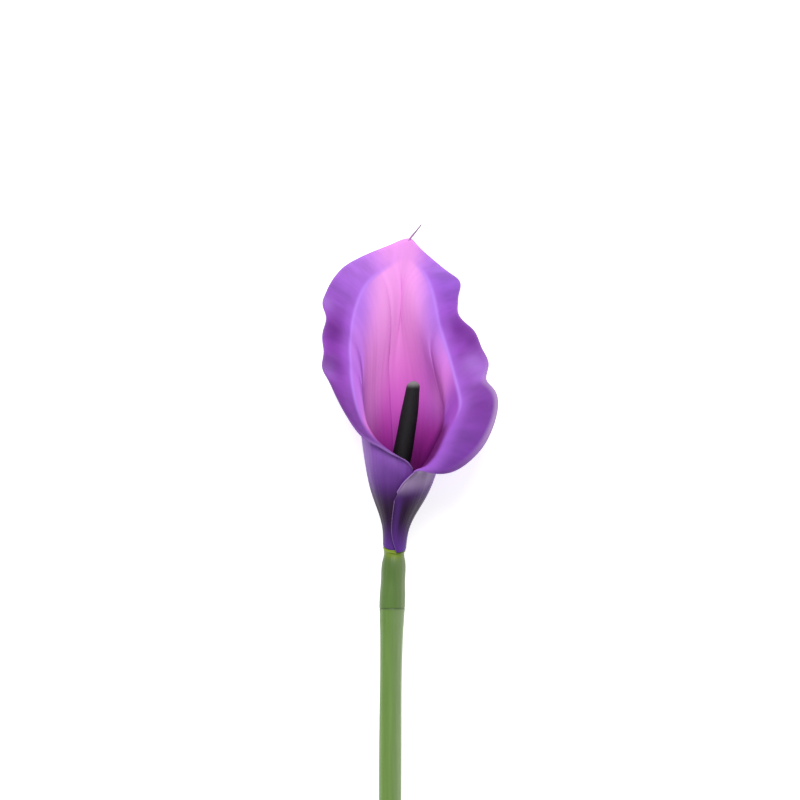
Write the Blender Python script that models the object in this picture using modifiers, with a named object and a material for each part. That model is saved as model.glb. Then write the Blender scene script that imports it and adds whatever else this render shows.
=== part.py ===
"""Calla lily flower, lying on its back: a rolled spathe around a spadix, on a neck sleeve and a cut stem.

The flower is drawn in its own frame: X to its right, Y along the stem towards the tip, Z out of the
open front, with the origin at the middle of the spathe's foot. An empty then lays it down on Z = 0.
Lengths in the lists and constants are millimetres, turned into metres where a mesh is made.
"""
import math

import bmesh
import bpy
import numpy as np
from mathutils import Matrix, Vector

MM = 0.001
GAP = 0.3                     # clearance between pieces that touch

# How the flower lies: the head raised a little, on its back and on both sides of the upper rim
LIE_PITCH = 3.5               # degrees, about X

# Spathe
SHEET = 0.9                   # thickness of the sheet
SPIRAL = 2.0                  # how far the roll opens outwards over a whole turn
INNER_END = -205              # bearings where the sheet starts and ends, degrees from the back
OUTER_END = 188
EDGE_REACH = 28.0             # degrees over which the free edge's swing dies away
VALLEY = 0.10                 # how far the cup's flanks flatten into a valley, as a share of its radius
GROOVE = -14.0                # bearing of the bottom of that valley
COLUMNS = 72
ROWS_PER_BAND = (2, 2, 3, 3, 5, 2, 3)
FOOT_SLOPE = (0.4, -0.12, -0.42)   # the foot's height: level, rise per mm of X, rise per mm of Z

# Neck sleeve and stem
JOINT_Y = -27.5               # where the sleeve meets the stem
SPIGOT_RADIUS = 2.5           # pin of the sleeve that stands inside the roll and carries the spadix
SPIGOT_BOTTOM = -8.0
SPIGOT_TOP = 8.0
TENON_RADIUS = 3.4            # pin of the sleeve that plugs into the stem
TENON_LENGTH = 12.0
TENON_ROOT = 4.0              # how far the tenon's cutter reaches up into the sleeve
STEM_END = -270.0

# Sides of the rods: a curve's bevel of resolution n has 4 + 2n sides
TAIL_RESOLUTION = 1
SPADIX_RESOLUTION = 6
STEM_RESOLUTION = 8

# Middle of the neck and the stem: height, X
STEM_MIDDLES = ((-270, -3.2), (-120, -2.3), (-45, -1.7), (-27.5, -1.3), (0, -0.2))
# Neck sleeve: height, radius
NECK_RADII = (
    (4.0, 4.85),
    (0.0, 4.9),
    (-5.5, 5.0),
    (-14.7, 5.45),
    (-20.0, 5.72),
    (-24.0, 5.87),
    (JOINT_Y + 0.6, 5.9),
    (JOINT_Y, 5.4),
)
# Stem: height, radius
STEM_RADII = (
    (JOINT_Y - GAP, 5.5),
    (JOINT_Y - GAP - 0.5, 5.88),
    (-33.0, 5.55),
    (-38.0, 5.3),
    (-44.0, 5.15),
    (-52.0, 5.0),
    (-80.0, 5.0),
    (-120.0, 5.1),
    (-170.0, 5.1),
    (-220.0, 5.05),
    (STEM_END + 0.4, 5.05),
    (STEM_END, 4.65),
)
# Middle of the spadix: height, X, Z
SPADIX_MIDDLES = ((8.3, -0.1, 0.0), (28, 0.9, 0.6), (44, 3.6, 1.8), (64, 6.8, 3.4), (77, 8.7, 4.2))
# Spadix: height, radius
SPADIX_RADII = (
    (8.3, 2.3),
    (14, 3.2),
    (28, 4.2),
    (44, 4.5),
    (53, 4.3),
    (64, 3.9),
    (70, 3.5),
    (74, 2.9),
    (75.8, 2.1),
    (76.6, 0.9),
)
# The thread at the spathe's tip: X, Y, Z, radius
TAIL = (
    (5.2, 136.8, -27.9, 0.60),
    (6.6, 142.4, -29.0, 0.65),
    (9.3, 146.2, -27.6, 0.45),
    (12.4, 150.0, -25.2, 0.30),
)
# Wall of the roll: height, middle X, half width, back Z, front Z
WALL = (
    (-3, -0.8, 4.7, -4.7, 4.6),
    (0, -0.7, 4.85, -4.9, 4.7),
    (6, -0.5, 5.45, -5.5, 5.4),
    (10, 0.0, 6.0, -6.2, 6.0),
    (14, 1.0, 7.6, -7.6, 7.4),
    (21, 1.4, 10.8, -10.7, 10.7),
    (28, 2.0, 13.6, -13.6, 13.6),
    (36, 2.5, 16.0, -16.8, 16.4),
    (45, 3.2, 17.8, -19.5, 18.0),
    (60, 3.4, 19.4, -23.0, 19.0),
    (85, 2.6, 20.5, -25.5, 20.0),
)
# Rings of the roll below the lip: share of the lip's height at the front and at the back, and how
# many degrees further round the free edge's side lies there
RINGS = (
    (0.0, 0.0, -23),
    (0.24, 0.066, 1),
    (0.53, 0.18, 8),
    (0.75, 0.37, 4),
    (0.88, 0.62, -1),
)
# Where the wall turns over into the margin: bearing, X, Y, Z
FOLD = (
    (-205, 8.0, 35.6, 12.5),
    (-190, 5.4, 39.2, 14.7),
    (-180, 2.6, 41.6, 15.9),
    (-168, -1.4, 44.2, 16.5),
    (-142, -11.0, 51.8, 11.5),
    (-118, -17.9, 65.5, 3.5),
    (-90, -20.8, 91.0, -6.5),
    (-70, -19.8, 104.5, -13.0),
    (-55, -17.5, 113.5, -18.0),
    (-38, -12.5, 123.0, -22.8),
    (-20, -4.0, 130.0, -26.2),
    (0, 4.6, 134.0, -27.4),
    (20, 11.0, 130.5, -26.2),
    (38, 15.5, 123.5, -22.5),
    (55, 18.6, 113.5, -17.5),
    (72, 21.0, 102.0, -11.5),
    (90, 25.2, 87.5, -5.0),
    (105, 28.5, 75.5, 0.0),
    (118, 30.0, 64.5, 5.0),
    (130, 25.0, 54.0, 10.8),
    (140, 21.3, 45.8, 14.9),
    (150, 17.7, 40.3, 17.7),
    (158, 13.8, 37.2, 18.8),
    (165, 10.0, 36.2, 18.3),
    (172, 7.2, 33.4, 16.6),
    (180, 4.0, 29.6, 14.9),
    (188, 1.1, 25.0, 13.2),
)
# The rim: bearing, X, Y, Z
RIM = (
    (-205, 8.2, 36.8, 12.9),
    (-190, 5.7, 40.1, 15.6),
    (-180, 2.9, 41.6, 17.1),
    (-168, -1.5, 43.3, 17.8),
    (-155, -6.8, 46.3, 16.0),
    (-142, -14.0, 50.3, 12.6),
    (-130, -20.0, 57.0, 7.5),
    (-118, -27.1, 69.5, 0.2),
    (-110, -31.0, 77.5, -5.0),
    (-103, -33.8, 84.0, -9.2),
    (-98, -33.0, 89.5, -5.2),
    (-93, -33.6, 94.5, -11.8),
    (-87, -33.3, 100.5, -14.0),
    (-82, -31.9, 105.5, -11.0),
    (-75, -33.6, 111.5, -18.3),
    (-66, -32.7, 117.0, -22.8),
    (-55, -29.9, 123.0, -25.5),
    (-45, -25.1, 129.2, -28.2),
    (-34, -19.0, 133.4, -29.2),
    (-20, -10.0, 137.6, -29.4),
    (-8, -0.6, 141.4, -29.3),
    (0, 6.6, 143.6, -29.2),
    (7, 10.5, 140.5, -29.0),
    (20, 17.2, 134.2, -28.8),
    (34, 25.6, 127.4, -28.6),
    (46, 30.6, 122.2, -27.2),
    (54, 29.6, 117.0, -22.0),
    (64, 29.2, 112.5, -18.0),
    (71, 29.6, 107.5, -12.6),
    (77, 33.0, 103.7, -14.5),
    (84, 37.0, 99.9, -17.0),
    (95, 40.6, 91.5, -15.2),
    (105, 43.2, 83.0, -8.3),
    (110, 42.0, 77.6, -0.7),
    (114, 44.3, 74.6, -1.5),
    (118, 46.9, 70.8, -3.2),
    (124, 47.0, 62.0, -0.3),
    (130, 43.8, 52.6, 5.8),
    (140, 36.5, 42.2, 13.0),
    (150, 26.2, 35.2, 18.0),
    (158, 17.2, 34.6, 20.2),
    (165, 11.0, 35.8, 19.6),
    (172, 7.3, 33.9, 17.8),
    (180, 3.9, 30.6, 15.9),
    (188, 0.9, 26.1, 14.0),
)
# How far the margin arches out of the straight line from fold to rim: bearing, mm
ARCH = (
    (-205, 0.0),
    (-160, 0.2),
    (-120, 0.9),
    (-60, 1.0),
    (0, 0.2),
    (60, 1.0),
    (105, 1.6),
    (130, 2.2),
    (150, 1.2),
    (172, 0.1),
    (188, 0.0),
)


# ---------------------------------------------------------------- shared helpers

def clear_scene():
    for obj in list(bpy.data.objects):
        bpy.data.objects.remove(obj, do_unlink=True)


def new_collection(name):
    collection = bpy.data.collections.new(name)
    bpy.context.scene.collection.children.link(collection)
    return collection


def material(name, colour, roughness, metallic=0.0):
    result = bpy.data.materials.new(name)
    result.use_nodes = True
    shader = result.node_tree.nodes["Principled BSDF"]
    shader.inputs["Base Color"].default_value = (*colour, 1.0)
    shader.inputs["Roughness"].default_value = roughness
    shader.inputs["Metallic"].default_value = metallic
    return result


def add_object(name, mesh, collection, surface=None, sharp_angle=35.0):
    """Link a mesh as a named object, shaded smooth except along sharp edges."""
    if surface:
        mesh.materials.append(surface)
    mesh.shade_smooth()
    mesh.set_sharp_from_angle(angle=math.radians(sharp_angle))
    obj = bpy.data.objects.new(name, mesh)
    collection.objects.link(obj)
    return obj


def make_cutter(name, mesh, collection):
    obj = add_object(name, mesh, collection)
    obj.hide_render = True
    obj.display_type = "WIRE"
    return obj


def boolean(obj, other, operation):
    modifier = obj.modifiers.new(other.name, "BOOLEAN")
    modifier.operation = operation
    modifier.object = other
    modifier.solver = "EXACT"


def rod_mesh(name, route, radii, resolution):
    """Closed tube along a route of points, with its own radius at each point."""
    curve = bpy.data.curves.new(name, "CURVE")
    curve.dimensions = "3D"
    curve.bevel_depth = 1.0
    curve.bevel_resolution = resolution
    curve.use_fill_caps = True
    spline = curve.splines.new("POLY")
    spline.points.add(len(route) - 1)
    for point, place, radius in zip(spline.points, route, radii):
        point.co = (*(Vector(place) * MM), 1.0)
        point.radius = radius * MM
    holder = bpy.data.objects.new(name, curve)
    bpy.context.scene.collection.objects.link(holder)
    bpy.context.view_layer.update()
    evaluated = holder.evaluated_get(bpy.context.evaluated_depsgraph_get())
    mesh = bpy.data.meshes.new_from_object(evaluated)
    mesh.name = name
    bpy.data.objects.remove(holder, do_unlink=True)
    bpy.data.curves.remove(curve)
    bm = bmesh.new()
    bm.from_mesh(mesh)
    bmesh.ops.remove_doubles(bm, verts=bm.verts, dist=0.00001)
    bmesh.ops.recalc_face_normals(bm, faces=bm.faces)
    bm.to_mesh(mesh)
    bm.free()
    mesh.materials.clear()
    return mesh


def cylinder_mesh(name, radius, low, high, sides=24):
    """Closed cylinder along the flower's Y axis, from low to high."""
    bm = bmesh.new()
    bmesh.ops.create_cone(bm, cap_ends=True, segments=sides, radius1=radius * MM, radius2=radius * MM,
                          depth=(high - low) * MM)
    turn = Matrix.Rotation(math.radians(-90), 4, "X")
    bmesh.ops.transform(bm, matrix=Matrix.Translation((0, (low + high) / 2 * MM, 0)) @ turn, verts=bm.verts)
    mesh = bpy.data.meshes.new(name)
    bm.to_mesh(mesh)
    bm.free()
    return mesh


def smooth_curve(knots, values, places):
    """Natural cubic spline through values at rising knots, read at the given places."""
    knots = np.asarray(knots, float)
    values = np.asarray(values, float)
    count = len(knots)
    gaps = np.diff(knots)
    system = np.eye(count)
    target = np.zeros_like(values)
    for i in range(1, count - 1):
        system[i, i - 1:i + 2] = (gaps[i - 1], 2 * (gaps[i - 1] + gaps[i]), gaps[i])
        target[i] = 6 * ((values[i + 1] - values[i]) / gaps[i] - (values[i] - values[i - 1]) / gaps[i - 1])
    bend = np.linalg.solve(system, target)
    places = np.clip(places, knots[0], knots[-1])
    left = np.clip(np.searchsorted(knots, places) - 1, 0, count - 2)
    width = gaps[left]
    a = (knots[left + 1] - places) / width
    b = (places - knots[left]) / width
    if values.ndim > 1:
        a, b, width = a[:, None], b[:, None], width[:, None]
    straight = a * values[left] + b * values[left + 1]
    return straight + ((a**3 - a) * bend[left] + (b**3 - b) * bend[left + 1]) * width**2 / 6


# ---------------------------------------------------------------- spathe

def through(table, bearings):
    """A list of rows that start with a bearing, read as a smooth curve at these bearings."""
    rows = np.array(table, float)
    return smooth_curve(rows[:, 0], rows[:, 1:], bearings)


def unit(vectors):
    return vectors / np.maximum(np.linalg.norm(vectors, axis=-1, keepdims=True), 1e-9)


def ease(x, low, high):
    """0 below low, 1 above high, smooth between."""
    t = np.clip((x - low) / (high - low), 0, 1)
    return t * t * (3 - 2 * t)


def wall_point(heights, bearings, turns):
    """Points of the rolled wall at these heights and turned angles, stepped outwards by the spiral."""
    middle, half, back, front = through(WALL, heights).T
    step = SPIRAL * bearings / 360
    from_groove = turns - math.radians(GROOVE) * np.cos(turns)
    flank = np.where(np.abs(turns) < math.pi / 2, np.sin(2 * from_groove) ** 2, 0)
    valley = 1 - VALLEY * ease(heights, 20, 60) * flank
    x = middle + (half + step) * np.sin(turns) * valley
    z = (back + front) / 2 - ((front - back) / 2 + step) * np.cos(turns) * valley
    return np.stack([x, heights, z], axis=1)


def column_nets(bearings):
    """For each bearing, the points its column runs through: five rings, the fold, the margin, the rim."""
    fold = through(FOLD, bearings)
    rim = through(RIM, bearings)
    backness = 1 - ((1 - np.cos(np.radians(bearings))) / 2) ** 2
    edge_side = np.exp((bearings - OUTER_END) / EDGE_REACH)
    net = []
    for front_share, back_share, swing in RINGS:
        turns = np.radians(bearings + swing * edge_side)
        heights = (front_share + (back_share - front_share) * backness) * fold[:, 1]
        points = wall_point(heights, bearings, turns)
        if front_share == 0:
            level, per_x, per_z = FOOT_SLOPE
            points = wall_point(level + per_x * points[:, 0] + per_z * points[:, 2], bearings, turns)
        net.append(points)
    across = unit(rim - fold)
    along = unit(np.gradient(fold, axis=0))
    outward = unit(np.cross(across, along))
    outward *= np.sign(outward[:, 2:])
    middle = (fold + rim) / 2 + through(ARCH, bearings) * outward
    return np.stack(net + [fold, middle, rim], axis=1)


def spathe_points():
    """Middle of the sheet as a grid of points: columns from inner to outer end, rows from foot to rim."""
    bearings = np.linspace(INNER_END, OUTER_END, COLUMNS)
    stations = [0.0]
    for band, rows in enumerate(ROWS_PER_BAND):
        stations += [band + (i + 1) / rows for i in range(rows)]
    grid = []
    for net in column_nets(bearings):
        run = np.concatenate([[0.0], np.cumsum(np.linalg.norm(np.diff(net, axis=0), axis=1))])
        grid.append(smooth_curve(run, net, np.interp(stations, range(len(net)), run)))
    return np.array(grid) * MM


def make_spathe(parts, cutters):
    """One sheet rolled round the spadix, its right end lapped over its left, with a thread-like tail."""
    points = spathe_points()
    columns, rows = points.shape[:2]
    bm = bmesh.new()
    bmesh.ops.create_grid(bm, x_segments=columns - 1, y_segments=rows - 1, size=1.0)
    for vertex in bm.verts:
        column = round((vertex.co.x + 1) / 2 * (columns - 1))
        row = round((vertex.co.y + 1) / 2 * (rows - 1))
        vertex.co = points[column, row]
    mesh = bpy.data.meshes.new("spathe")
    bm.to_mesh(mesh)
    bm.free()
    spathe = add_object("spathe", mesh, parts, material("spathe_violet", (0.36, 0.11, 0.52), 0.45), 80.0)
    solidify = spathe.modifiers.new("sheet", "SOLIDIFY")
    solidify.thickness = SHEET * MM
    solidify.offset = 0.0
    route = [place for *place, radius in TAIL]
    radii = [radius for *place, radius in TAIL]
    tail = rod_mesh("tail", route, radii, TAIL_RESOLUTION)
    boolean(spathe, make_cutter("tail", tail, cutters), "UNION")
    return spathe


# ---------------------------------------------------------------- spadix, neck and stem

def make_spadix(parts):
    """Round-tipped rod, thickest low down, that leans a little to the right."""
    heights, radii = zip(*SPADIX_RADII)
    middles = through(SPADIX_MIDDLES, heights)
    route = [(x, height, z) for height, (x, z) in zip(heights, middles)]
    mesh = rod_mesh("spadix", route, radii, SPADIX_RESOLUTION)
    return add_object("spadix", mesh, parts, material("spadix_black", (0.012, 0.01, 0.012), 0.75))


def stem_rod(name, table):
    """Closed tube down the stem's line, which drifts a little to the left, from a table of radii."""
    heights, radii = zip(*table)
    route = [(x, height, 0.0) for height, (x,) in zip(heights, through(STEM_MIDDLES, heights))]
    return rod_mesh(name, route, radii, STEM_RESOLUTION)


def joint_cutter(name, radius, low, high, cutters):
    """Cylinder on the stem's line at the joint, for the tenon and its socket."""
    cutter = make_cutter(name, cylinder_mesh(name, radius, low, high), cutters)
    cutter.location.x = through(STEM_MIDDLES, [JOINT_Y])[0, 0] * MM
    return cutter


def make_neck(parts, cutters):
    """Green sleeve that swells to the joint, with a spigot in the spathe's foot and a tenon in the stem."""
    green = material("neck_green", (0.11, 0.19, 0.05), 0.5)
    neck = add_object("neck", stem_rod("neck", NECK_RADII), parts, green)
    boolean(neck, make_cutter("shoulder_cut", shoulder_block(), cutters), "DIFFERENCE")
    spigot = cylinder_mesh("spigot", SPIGOT_RADIUS, SPIGOT_BOTTOM, SPIGOT_TOP)
    boolean(neck, make_cutter("spigot", spigot, cutters), "UNION")
    low, high = JOINT_Y - TENON_LENGTH, JOINT_Y + TENON_ROOT
    boolean(neck, joint_cutter("tenon", TENON_RADIUS, low, high, cutters), "UNION")
    return neck


def shoulder_block(size=20.0):
    """Block whose underside lies twice the gap below the spathe's sloped foot."""
    level, per_x, per_z = FOOT_SLOPE
    lift = size / 2 + level - 2 * GAP
    slope = Matrix(((1, 0, 0, 0), (per_x, 1, per_z, lift * MM), (0, 0, 1, 0), (0, 0, 0, 1)))
    bm = bmesh.new()
    bmesh.ops.create_cube(bm, size=size * MM)
    bmesh.ops.transform(bm, matrix=slope, verts=bm.verts)
    mesh = bpy.data.meshes.new("shoulder_cut")
    bm.to_mesh(mesh)
    bm.free()
    return mesh


def make_stem(parts, cutters):
    """Round stem with a socket for the neck's tenon and a plain square cut at its end."""
    green = material("stem_green", (0.18, 0.31, 0.08), 0.5)
    stem = add_object("stem", stem_rod("stem", STEM_RADII), parts, green)
    low, high = JOINT_Y - TENON_LENGTH - 1, JOINT_Y + 2
    boolean(stem, joint_cutter("socket", TENON_RADIUS + GAP, low, high, cutters), "DIFFERENCE")
    return stem


# ---------------------------------------------------------------- laying it down

def lay_down(objects):
    """Tip the flower onto its back and put the middle of its box over the origin, resting on Z = 0."""
    holder = bpy.data.objects.new("flower", None)
    bpy.context.scene.collection.objects.link(holder)
    for obj in objects:
        obj.parent = holder
    turn = Matrix.Rotation(math.radians(LIE_PITCH), 4, "X")
    holder.matrix_world = turn
    bpy.context.view_layer.update()
    graph = bpy.context.evaluated_depsgraph_get()
    corners = []
    for obj in objects:
        if obj.hide_render:
            continue
        mesh = obj.evaluated_get(graph).data
        corners += [obj.matrix_world @ vertex.co for vertex in mesh.vertices]
    low = [min(corner[axis] for corner in corners) for axis in range(3)]
    high = [max(corner[axis] for corner in corners) for axis in range(3)]
    shift = (-(low[0] + high[0]) / 2, -(low[1] + high[1]) / 2, -low[2])
    holder.matrix_world = Matrix.Translation(shift) @ turn


def main():
    clear_scene()
    parts = new_collection("calla_lily")
    cutters = new_collection("cutters")
    make_spathe(parts, cutters)
    make_spadix(parts)
    make_neck(parts, cutters)
    make_stem(parts, cutters)
    lay_down(list(parts.objects) + list(cutters.objects))


main()
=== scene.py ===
"""Looks of a calla lily flower that lies on its back on a pale floor, seen from above its open front.

The flower is drawn in its own frame, as its solids are: X to its right, Y along the stem towards the
tip, Z out of the open front, with the origin at the middle of the spathe's foot. Lists and constants
are in millimetres, turned into metres where a mesh is made.
"""
import math

import bmesh
import bpy
import numpy as np
from mathutils import Matrix, Vector


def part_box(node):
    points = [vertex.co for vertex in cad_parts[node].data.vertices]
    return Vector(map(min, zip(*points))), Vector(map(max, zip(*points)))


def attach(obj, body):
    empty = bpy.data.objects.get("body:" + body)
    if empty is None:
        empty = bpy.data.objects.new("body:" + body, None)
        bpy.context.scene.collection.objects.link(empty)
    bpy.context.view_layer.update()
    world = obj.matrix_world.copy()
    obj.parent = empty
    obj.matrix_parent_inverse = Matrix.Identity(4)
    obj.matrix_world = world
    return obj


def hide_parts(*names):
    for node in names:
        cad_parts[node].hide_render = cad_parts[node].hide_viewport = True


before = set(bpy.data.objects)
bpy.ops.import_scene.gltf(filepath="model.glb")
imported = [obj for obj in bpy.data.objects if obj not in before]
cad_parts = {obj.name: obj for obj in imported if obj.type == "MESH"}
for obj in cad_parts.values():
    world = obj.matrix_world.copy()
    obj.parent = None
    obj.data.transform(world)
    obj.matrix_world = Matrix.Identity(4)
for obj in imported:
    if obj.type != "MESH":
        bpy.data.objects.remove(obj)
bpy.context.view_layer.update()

MM = 0.001
WELD = 0.001 * MM             # points closer than this become one, in metres
LIE_PITCH = 3.5               # how the flower lies: degrees, about X
FLOOR_DROP = 0.6              # the curled rim dips a little below the solid's underside

# Spathe
SHEET = 0.9                   # thickness of the sheet
SPIRAL = 2.0                  # how far the roll opens outwards over a whole turn
INNER_END = -205              # bearings where the sheet starts and ends, degrees from the back
OUTER_END = 188
EDGE_REACH = 28.0             # degrees over which the free edge's swing dies away
VALLEY = 0.10                 # how far the cup's flanks flatten into a valley, as a share of its radius
FOOT_SLOPE = (0.4, -0.12, -0.42)   # the foot's height: level, rise per mm of X, rise per mm of Z
GROOVE = -14.0                # bearing of the crease down the cup's valley
GROOVE_LEAN = -13.0           # how much further round it lies at the fold
FOLD_STATION = 5              # stations number the sheet's rows from 0 at the foot: this is the fold's
RIM_STATION = 7               # and this the rim's

# Wall of the roll: height, middle X, half width, back Z, front Z
WALL = (
    (-3, -0.8, 4.7, -4.7, 4.6),
    (0, -0.7, 4.85, -4.9, 4.7),
    (6, -0.5, 5.45, -5.5, 5.4),
    (10, 0.0, 6.0, -6.2, 6.0),
    (14, 1.0, 7.6, -7.6, 7.4),
    (21, 1.4, 10.8, -10.7, 10.7),
    (28, 2.0, 13.6, -13.6, 13.6),
    (36, 2.5, 16.0, -16.8, 16.4),
    (45, 3.2, 17.8, -19.5, 18.0),
    (60, 3.4, 19.4, -23.0, 19.0),
    (85, 2.6, 20.5, -25.5, 20.0),
)
# Rings of the roll below the lip: share of the lip's height at the front and at the back, and how
# many degrees further round the free edge's side lies there
RINGS = (
    (0.0, 0.0, -23),
    (0.24, 0.066, 1),
    (0.53, 0.18, 8),
    (0.75, 0.37, 4),
    (0.88, 0.62, -1),
)
# Where the wall turns over into the margin: bearing, X, Y, Z
FOLD = (
    (-205, 8.0, 35.6, 12.5),
    (-190, 5.4, 39.2, 14.7),
    (-180, 2.6, 41.6, 15.9),
    (-168, -1.4, 44.2, 16.5),
    (-142, -11.0, 51.8, 11.5),
    (-118, -17.9, 65.5, 3.5),
    (-90, -20.8, 91.0, -6.5),
    (-70, -19.8, 104.5, -13.0),
    (-55, -17.5, 113.5, -18.0),
    (-38, -12.5, 123.0, -22.8),
    (-20, -4.0, 130.0, -26.2),
    (0, 4.6, 134.0, -27.4),
    (20, 11.0, 130.5, -26.2),
    (38, 15.5, 123.5, -22.5),
    (55, 18.6, 113.5, -17.5),
    (72, 21.0, 102.0, -11.5),
    (90, 25.2, 87.5, -5.0),
    (105, 28.5, 75.5, 0.0),
    (118, 30.0, 64.5, 5.0),
    (130, 25.0, 54.0, 10.8),
    (140, 21.3, 45.8, 14.9),
    (150, 17.7, 40.3, 17.7),
    (158, 13.8, 37.2, 18.8),
    (165, 10.0, 36.2, 18.3),
    (172, 7.2, 33.4, 16.6),
    (180, 4.0, 29.6, 14.9),
    (188, 1.1, 25.0, 13.2),
)
# The rim: bearing, X, Y, Z
RIM = (
    (-205, 8.2, 36.8, 12.9),
    (-190, 5.7, 40.1, 15.6),
    (-180, 2.9, 41.6, 17.1),
    (-168, -1.5, 43.3, 17.8),
    (-155, -6.8, 46.3, 16.0),
    (-142, -14.0, 50.3, 12.6),
    (-130, -20.0, 57.0, 7.5),
    (-118, -27.1, 69.5, 0.2),
    (-110, -31.0, 77.5, -5.0),
    (-103, -33.8, 84.0, -9.2),
    (-98, -33.0, 89.5, -5.2),
    (-93, -33.6, 94.5, -11.8),
    (-87, -33.3, 100.5, -14.0),
    (-82, -31.9, 105.5, -11.0),
    (-75, -33.6, 111.5, -18.3),
    (-66, -32.7, 117.0, -22.8),
    (-55, -29.9, 123.0, -25.5),
    (-45, -25.1, 129.2, -28.2),
    (-34, -19.0, 133.4, -29.2),
    (-20, -10.0, 137.6, -29.4),
    (-8, -0.6, 141.4, -29.3),
    (0, 6.6, 143.6, -29.2),
    (7, 10.5, 140.5, -29.0),
    (20, 17.2, 134.2, -28.8),
    (34, 25.6, 127.4, -28.6),
    (46, 30.6, 122.2, -27.2),
    (54, 29.6, 117.0, -22.0),
    (64, 29.2, 112.5, -18.0),
    (71, 29.6, 107.5, -12.6),
    (77, 33.0, 103.7, -14.5),
    (84, 37.0, 99.9, -17.0),
    (95, 40.6, 91.5, -15.2),
    (105, 43.2, 83.0, -8.3),
    (110, 42.0, 77.6, -0.7),
    (114, 44.3, 74.6, -1.5),
    (118, 46.9, 70.8, -3.2),
    (124, 47.0, 62.0, -0.3),
    (130, 43.8, 52.6, 5.8),
    (140, 36.5, 42.2, 13.0),
    (150, 26.2, 35.2, 18.0),
    (158, 17.2, 34.6, 20.2),
    (165, 11.0, 35.8, 19.6),
    (172, 7.3, 33.9, 17.8),
    (180, 3.9, 30.6, 15.9),
    (188, 0.9, 26.1, 14.0),
)
# The thread at the tip: share of its run, X, Y, Z, radius
TAIL = (
    (0.0, 6.0, 142.2, -29.3, 0.45),
    (0.3, 7.4, 144.0, -28.9, 0.50),
    (0.6, 9.3, 146.2, -27.6, 0.42),
    (1.0, 12.4, 150.0, -25.2, 0.26),
)
# How far the margin arches out of the straight line from fold to rim: bearing, mm
ARCH = (
    (-205, 0.0),
    (-160, 0.2),
    (-120, 0.9),
    (-60, 1.0),
    (0, 0.2),
    (60, 1.0),
    (105, 1.6),
    (130, 2.2),
    (150, 1.2),
    (172, 0.1),
    (188, 0.0),
)

# Neck and stem
JOINT_Y = -27.5               # where the neck's sleeve ends on the stem
STEM_END = -270.0
STEM_RADIUS = 5.05            # at the cut end
STEM_MIDDLES = ((STEM_END, -3.2), (-120, -2.3), (-45, -1.7), (JOINT_Y, -1.3), (0, -0.3))   # Y, X

# UV maps carry places as shares: bearing / 360 + BEARING_SHIFT, mm from the rim / RIM_SPAN and
# mm past the fold / FOLD_SPAN + 0.5
BEARING_SHIFT = 0.6
RIM_SPAN = 100
FOLD_SPAN = 200


# ---------------------------------------------------------------- curves and grids

def smooth_curve(knots, values, places):
    """Natural cubic spline through values at rising knots, read at the given places."""
    knots = np.asarray(knots, float)
    values = np.asarray(values, float)
    count = len(knots)
    gaps = np.diff(knots)
    system = np.eye(count)
    target = np.zeros_like(values)
    for i in range(1, count - 1):
        system[i, i - 1:i + 2] = (gaps[i - 1], 2 * (gaps[i - 1] + gaps[i]), gaps[i])
        target[i] = 6 * ((values[i + 1] - values[i]) / gaps[i] - (values[i] - values[i - 1]) / gaps[i - 1])
    bend = np.linalg.solve(system, target)
    places = np.clip(places, knots[0], knots[-1])
    left = np.clip(np.searchsorted(knots, places) - 1, 0, count - 2)
    width = gaps[left]
    a = (knots[left + 1] - places) / width
    b = (places - knots[left]) / width
    if values.ndim > 1:
        a, b, width = a[:, None], b[:, None], width[:, None]
    straight = a * values[left] + b * values[left + 1]
    return straight + ((a**3 - a) * bend[left] + (b**3 - b) * bend[left + 1]) * width**2 / 6


def through(table, bearings):
    """A list of rows that start with a bearing, read as a smooth curve at these bearings."""
    rows = np.array(table, float)
    return smooth_curve(rows[:, 0], rows[:, 1:], bearings)


def hump(x, middle, reach):
    """A bell of height 1 at its middle, down to about a third at reach from it."""
    return np.exp(-((x - middle) / reach) ** 2)


def unit(vectors):
    """The vectors, each scaled to length 1."""
    return vectors / np.maximum(np.linalg.norm(vectors, axis=-1, keepdims=True), 1e-9)


def ease(x, low, high):
    """0 below low, 1 above high, smooth between."""
    t = np.clip((x - low) / (high - low), 0, 1)
    return t * t * (3 - 2 * t)


# ---------------------------------------------------------------- the spathe's middle surface

def wall_point(heights, bearings, turns):
    """Points of the rolled wall at these heights and turned angles, stepped outwards by the spiral."""
    middle, half, back, front = through(WALL, heights).T
    step = SPIRAL * bearings / 360
    from_groove = turns - math.radians(GROOVE) * np.cos(turns)
    flank = np.where(np.abs(turns) < math.pi / 2, np.sin(2 * from_groove) ** 2, 0)
    valley = 1 - VALLEY * ease(heights, 20, 60) * flank
    x = middle + (half + step) * np.sin(turns) * valley
    z = (back + front) / 2 - ((front - back) / 2 + step) * np.cos(turns) * valley
    return np.stack([x, heights, z], axis=1)


def column_nets(bearings):
    """For each bearing, the points its column runs through: five rings, the fold, the margin, the rim."""
    fold = through(FOLD, bearings)
    rim = through(RIM, bearings)
    backness = 1 - ((1 - np.cos(np.radians(bearings))) / 2) ** 2
    edge_side = np.exp((bearings - OUTER_END) / EDGE_REACH)
    net = []
    for front_share, back_share, swing in RINGS:
        turns = np.radians(bearings + swing * edge_side)
        heights = (front_share + (back_share - front_share) * backness) * fold[:, 1]
        points = wall_point(heights, bearings, turns)
        if front_share == 0:
            level, per_x, per_z = FOOT_SLOPE
            points = wall_point(level + per_x * points[:, 0] + per_z * points[:, 2], bearings, turns)
        net.append(points)
    across = unit(rim - fold)
    along = unit(np.gradient(fold, axis=0))
    outward = unit(np.cross(across, along))
    outward *= np.sign(outward[:, 2:])
    middle = (fold + rim) / 2 + through(ARCH, bearings) * outward
    return np.stack(net + [fold, middle, rim], axis=1)


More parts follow.
